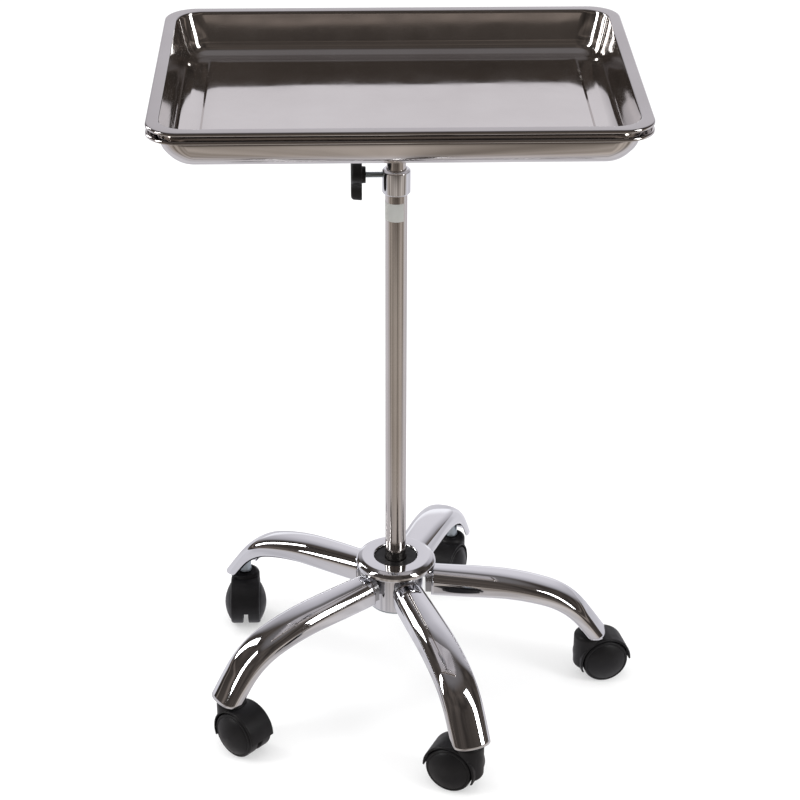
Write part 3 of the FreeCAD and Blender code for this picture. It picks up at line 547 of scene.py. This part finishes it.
def evenly(line, count):
    """The same line as evenly spaced points."""
    lengths = [0.0]
    for here, there in zip(line, line[1:]):
        lengths.append(lengths[-1] + math.dist(here, there))
    spaced = []
    piece = 0
    for step in range(count):
        goal = lengths[-1] * step / (count - 1)
        while piece < len(line) - 2 and lengths[piece + 1] < goal:
            piece += 1
        share = (goal - lengths[piece]) / (lengths[piece + 1] - lengths[piece])
        here, there = line[piece], line[piece + 1]
        spaced.append((here[0] + (there[0] - here[0]) * share, here[1] + (there[1] - here[1]) * share))
    return spaced


def arch(half, height):
    """Cross-section of a leg as (across, up), from one foot over the crowned top to the other."""
    lip, tuck, squareness = 3.4, 1.7, 2.35
    shoulder = min(15.0, height * 0.62)
    right = [(half - tuck, 0), (half - tuck * 0.45, lip * 0.35), (half - tuck * 0.1, lip * 0.75),
             (half, lip * 1.25)]
    wall_top = height - shoulder
    right += [(half, lip * 1.25 + (wall_top - lip * 1.25) * share) for share in (0.4, 0.8)]
    for step in range(0, 15):
        angle = math.radians(step * 6)
        right.append((half * math.cos(angle) ** (2 / squareness),
                      wall_top + shoulder * math.sin(angle) ** (2 / squareness)))
    return right + [(0, height)] + [(-across, up) for across, up in reversed(right)]


def leg(index):
    """A pressed leg: arched sections between its ridge and its lower edge, from the hub to its tip."""
    root, reach_end, end_height, wall = 38.0, 240.0, 59.0, 2.0
    root_half, widening, swelling, crown = 16.8, 3.5, 6.4, 0.7
    stations = 72
    ridge = evenly(bent_line((103, 134.5), 5.7, 264, 20, 85, root, end_height), stations)
    edge = evenly(bent_line((103, 112), 2, 220, 17, 75, root, end_height), stations)
    points = []
    for (ridge_x, ridge_z), (edge_x, edge_z) in zip(ridge, edge):
        reach = (ridge_x - root) / (reach_end - root)
        half = root_half + widening * reach + swelling * reach * (1 - reach)
        height = math.dist((ridge_x, ridge_z), (edge_x, edge_z))
        rise = ((ridge_x - edge_x) / height, (ridge_z - edge_z) / height)
        height += crown * smoothstep((ridge_x - root) / 50) * smoothstep((reach_end - ridge_x) / 25)
        for across, up in arch(half, height):
            points.append((edge_x + rise[0] * up, across, edge_z + rise[1] * up))
    columns = len(points) // stations
    faces = grid_faces(stations, columns, close_columns=False)
    socket = (low(f"stem_socket_{index}") + high(f"stem_socket_{index}")) / 2
    piece = new_piece(f"leg_{index}_pressing", points, faces, [f"leg_{index}"],
                      Matrix.Rotation(math.atan2(socket.y, socket.x), 4, "Z"), 60)
    shell = piece.modifiers.new("sheet", "SOLIDIFY")
    shell.thickness = wall * MM
    shell.offset = -1


# ---------------------------------------------------------------- casters


def axle_heading(index, towards):
    """Heading of a caster's axle, from the spread of its own points, on the side of a given direction."""
    spots = [vertex.co for vertex in frame["nodes"][f"caster_axle_{index}"].data.vertices]
    middle = sum(spots, Vector()) / len(spots)
    slant = sum((spot.x - middle.x) * (spot.y - middle.y) for spot in spots)
    excess = sum((spot.x - middle.x) ** 2 - (spot.y - middle.y) ** 2 for spot in spots)
    heading = math.atan2(2 * slant, excess) / 2
    if towards.x * math.cos(heading) + towards.y * math.sin(heading) < 0:
        heading += math.pi
    return heading


def caster_turn(index):
    """From a caster's own frame, axle along +Y at the origin, to where its axle is."""
    first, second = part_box(f"caster_wheel_{index}a"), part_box(f"caster_wheel_{index}b")
    middles = [(corner[0] + corner[1]) / 2 for corner in (first, second)]
    centre = (middles[0] + middles[1]) / 2
    heading = axle_heading(index, middles[0] - middles[1]) - math.pi / 2
    return Matrix.Translation(centre) @ Matrix.Rotation(heading, 4, "Z")


def wheel(index, side):
    """A wheel with a rounded tread, a shallow groove, a domed face and a hollow back."""
    profile = [(3.05, 3.0), (7, 3.0), (7, 12), (20, 12), (20, 3.0), (24.2, 3.0), (25, 3.8), (25, 13.6)]
    profile += [(25 - 2.6 * (1 - math.cos(math.radians(a))), 13.6 + 2.9 * math.sin(math.radians(a)))
                for a in (15, 30, 45, 60, 75)]
    profile += [(22.1, 16.4), (21.7, 16.15), (21.2, 16.75)]
    profile += [(21.2 * share, 23.3 - 6.4 * share ** 2) for share in (0.95, 0.85, 0.7, 0.55, 0.4, 0.25, 0.1)]
    profile += [(0.01, 23.35), (0.01, 18), (3.05, 18)]
    points, faces = lathed(profile, 96)
    sign = 1 if side == "a" else -1
    lay = caster_turn(index) @ Matrix.Rotation(-sign * math.pi / 2, 4, "X")
    node = f"caster_wheel_{index}{side}"
    new_piece(f"{node}_moulding", points, faces, [node], lay, 40)


def soften_node(node, width):
    """Rounds the edges of a shown CAD node a little, by modifiers only."""
    thing = frame["nodes"][node]
    weld = thing.modifiers.new("weld", "WELD")
    weld.merge_threshold = 0.01 * MM
    bevel = thing.modifiers.new("soft_edges", "BEVEL")
    bevel.width = width * MM
    bevel.segments = 3
    bevel.limit_method = "ANGLE"
    bevel.angle_limit = math.radians(40)
    bevel.harden_normals = True


# ---------------------------------------------------------------- everything on the frame


def dress_nodes():
    """Every CAD node that stays shown gets its slot's material."""
    for node, slot in NODE_SLOTS.items():
        dress(frame["nodes"][node], slot)


def build():
    dress_nodes()
    trays()
    mast_and_clamp()
    hub()
    for index in LEGS:
        leg(index)
        wheel(index, "a")
        wheel(index, "b")
        soften_node(f"caster_hood_{index}", 0.6)
        soften_node(f"stem_socket_{index}", 0.25)
    for node in ("flange_nuts", "base_bolt", "base_washer", "retaining_screw"):
        soften_node(node, 0.3)


# ---------------------------------------------------------------- studio


def mirrored_floor(nodes, links):
    """Colours of the floor in the metal: streaks round the cart, browner in front, dark far off."""
    place = nodes.new("ShaderNodeTexCoord")
    split = nodes.new("ShaderNodeSeparateXYZ")
    links.new(place.outputs["Object"], split.inputs["Vector"])
    depth = split.outputs["Y"]
    heading = nodes.new("ShaderNodeVectorMath")
    heading.operation = "NORMALIZE"
    links.new(place.outputs["Object"], heading.inputs[0])
    rays = nodes.new("ShaderNodeTexNoise")
    rays.inputs["Scale"].default_value = 3.4
    rays.inputs["Detail"].default_value = 3
    links.new(heading.outputs["Vector"], rays.inputs["Vector"])
    front = tint(nodes, links, rays.outputs["Fac"], (0.15, 0.125, 0.105), (0.62, 0.56, 0.51))
    back = tint(nodes, links, rays.outputs["Fac"], (0.55, 0.54, 0.58), (0.84, 0.83, 0.88))
    near = blend_colours(nodes, links, map_range(nodes, links, depth, 0.15, -0.45), back, front)
    far = blend_colours(nodes, links, map_range(nodes, links, depth, -6.0, -7.5),
                        (0.085, 0.070, 0.060), (0.20, 0.175, 0.16))
    return blend_colours(nodes, links, map_range(nodes, links, depth, -0.95, -2.3), near, far)


def floor():
    """A pale floor, a little luminous so that its shadows stay faint."""
    mesh = bpy.data.meshes.new("floor")
    half = 9.0
    mesh.from_pydata([(-half, -half, 0), (half, -half, 0), (half, half, 0), (-half, half, 0)], [],
                     [(0, 1, 2, 3)])
    plane = bpy.data.objects.new("floor", mesh)
    bpy.context.scene.collection.objects.link(plane)
    material, nodes, links, shader = new_material("pale_floor")
    shader.inputs["Roughness"].default_value = 0.9
    shader.inputs["Specular IOR Level"].default_value = 0.1
    shader.inputs["Base Color"].default_value = (0.6, 0.6, 0.6, 1)
    shader.inputs["Emission Color"].default_value = (1.0, 1.0, 1.0, 1)
    shader.inputs["Emission Strength"].default_value = 0.4
    glow = nodes.new("ShaderNodeEmission")
    links.new(mirrored_floor(nodes, links), glow.inputs["Color"])
    path = nodes.new("ShaderNodeLightPath")
    mix = nodes.new("ShaderNodeMixShader")
    links.new(path.outputs["Is Glossy Ray"], mix.inputs["Fac"])
    links.new(shader.outputs["BSDF"], mix.inputs[1])
    links.new(glow.outputs["Emission"], mix.inputs[2])
    links.new(mix.outputs["Shader"], nodes["Material Output"].inputs["Surface"])
    mesh.materials.append(material)


def room_bands(nodes, links, height):
    """Dark brown bands of the room from straight down to straight up, with two lighter ones."""
    bands = nodes.new("ShaderNodeValToRGB")
    tones = ((0.0, 0.20), (0.47, 0.22), (0.50, 0.06), (0.570, 0.04), (0.581, 0.20), (0.594, 0.17),
             (0.604, 0.045), (0.66, 0.035), (0.685, 0.11), (0.71, 0.04), (0.9, 0.05), (1.0, 0.06))
    while len(bands.color_ramp.elements) < len(tones):
        bands.color_ramp.elements.new(0.5)
    for stop, (spot, tone) in zip(bands.color_ramp.elements, tones):
        stop.position = spot
        stop.color = (tone, tone * 0.86, tone * 0.78, 1)
    links.new(map_range(nodes, links, height, -1.0, 1.0), bands.inputs["Fac"])
    return bands.outputs["Color"]


def facing(nodes, links, directions, aim):
    """Cosine of the angle between each direction and an aim."""
    product = nodes.new("ShaderNodeVectorMath")
    product.operation = "DOT_PRODUCT"
    product.inputs[1].default_value = Vector(aim).normalized()
    links.new(directions, product.inputs[0])
    return product.outputs["Value"]


def straight_behind(nodes, links, split):
    """1 for directions behind the cart and near its middle plane, 0 elsewhere."""
    aside = nodes.new("ShaderNodeMath")
    aside.operation = "ABSOLUTE"
    links.new(split.outputs["X"], aside.inputs[0])
    behind = nodes.new("ShaderNodeMath")
    behind.operation = "MULTIPLY"
    links.new(map_range(nodes, links, split.outputs["Y"], 0.25, 0.45), behind.inputs[0])
    links.new(map_range(nodes, links, aside.outputs["Value"], 0.45, 0.25), behind.inputs[1])
    return behind.outputs["Value"]


def mirrored_room(nodes, links):
    """Colours of the room that the metal mirrors, by direction."""
    place = nodes.new("ShaderNodeTexCoord")
    directions = place.outputs["Generated"]
    split = nodes.new("ShaderNodeSeparateXYZ")
    links.new(directions, split.inputs["Vector"])
    clouds = nodes.new("ShaderNodeTexNoise")
    clouds.inputs["Scale"].default_value = 2.6
    clouds.inputs["Detail"].default_value = 3
    links.new(directions, clouds.inputs["Vector"])
    patches = tint(nodes, links, clouds.outputs["Fac"], (0.55, 0.55, 0.55), (2.1, 2.05, 2.0))
    bands = room_bands(nodes, links, split.outputs["Z"])
    dim = blend_colours(nodes, links, 1.0, bands, patches, "MULTIPLY")
    to_wall = facing(nodes, links, directions, (0.15, 0.93, 0.33))
    wall = blend_colours(nodes, links, map_range(nodes, links, to_wall, 0.86, 0.99),
                         (0.56, 0.545, 0.585), (0.86, 0.84, 0.89))
    room = blend_colours(nodes, links, map_range(nodes, links, to_wall, 0.70, 0.88), dim, wall)
    near_horizon = map_range(nodes, links, split.outputs["Z"], 0.20, 0.06)
    bright = blend_colours(nodes, links, near_horizon, room, (1.15, 1.15, 1.2))
    room = blend_colours(nodes, links, straight_behind(nodes, links, split), room, bright)
    overhead = map_range(nodes, links, facing(nodes, links, directions, (0.0, 0.1, 1.0)), 0.84, 0.98)
    return blend_colours(nodes, links, overhead, room, (0.19, 0.18, 0.185))


def world():
    """White room for the eye; in the metal, a pale wall behind the cart and a dark brown room elsewhere."""
    studio = bpy.data.worlds.new("studio")
    bpy.context.scene.world = studio
    studio.use_nodes = True
    nodes, links = studio.node_tree.nodes, studio.node_tree.links
    path = nodes.new("ShaderNodeLightPath")
    room = mirrored_room(nodes, links)
    seen = blend_colours(nodes, links, path.outputs["Is Glossy Ray"], (1.0, 1.0, 1.0), room)
    links.new(seen, nodes["Background"].inputs["Color"])
    nodes["Background"].inputs["Strength"].default_value = 0.95


def softbox(name, spot, aim, width, height, power, mirrored=True):
    """A rectangular studio light aimed at a point; an unmirrored one doesn't show in the metal."""
    light = bpy.data.lights.new(name, "AREA")
    light.shape = "RECTANGLE"
    light.size = width
    light.size_y = height
    light.energy = power
    lamp = bpy.data.objects.new(name, light)
    lamp.location = spot
    lamp.visible_glossy = mirrored
    lamp.rotation_euler = (Vector(aim) - Vector(spot)).to_track_quat("-Z", "Y").to_euler()
    bpy.context.scene.collection.objects.link(lamp)


def lights():
    middle = (0, 0, 0.35)
    softbox("window_left_back", (-1.8, 1.1, 1.25), middle, 0.42, 1.5, 13)
    softbox("window_left", (-1.75, -0.45, 1.4), middle, 0.34, 1.5, 13)
    softbox("window_right", (1.55, -0.95, 1.35), middle, 0.40, 1.5, 15)
    softbox("top_box", (0.0, 0.0, 2.6), (0, 0, 0), 1.6, 1.4, 18, mirrored=False)


def camera():
    """A short telephoto from the front, a little to the left, looking down at the cart."""
    data = bpy.data.cameras.new("camera")
    data.sensor_width = 36.0
    data.lens = 102.0
    data.clip_end = 100.0
    view = bpy.data.objects.new("camera", data)
    pitch, yaw, roll = (math.radians(angle) for angle in (28.37, 1.61, -0.17))
    view.location = (-0.0536, -2.0561, 1.4543)
    heading = Matrix.Rotation(-yaw, 4, "Z")
    tilt = Matrix.Rotation(math.pi / 2 - pitch, 4, "X")
    view.rotation_euler = (heading @ tilt @ Matrix.Rotation(-roll, 4, "Z")).to_euler()
    bpy.context.scene.collection.objects.link(view)
    bpy.context.scene.camera = view


build()
floor()
world()
lights()
camera()
bpy.context.scene.view_settings.view_transform = "Standard"
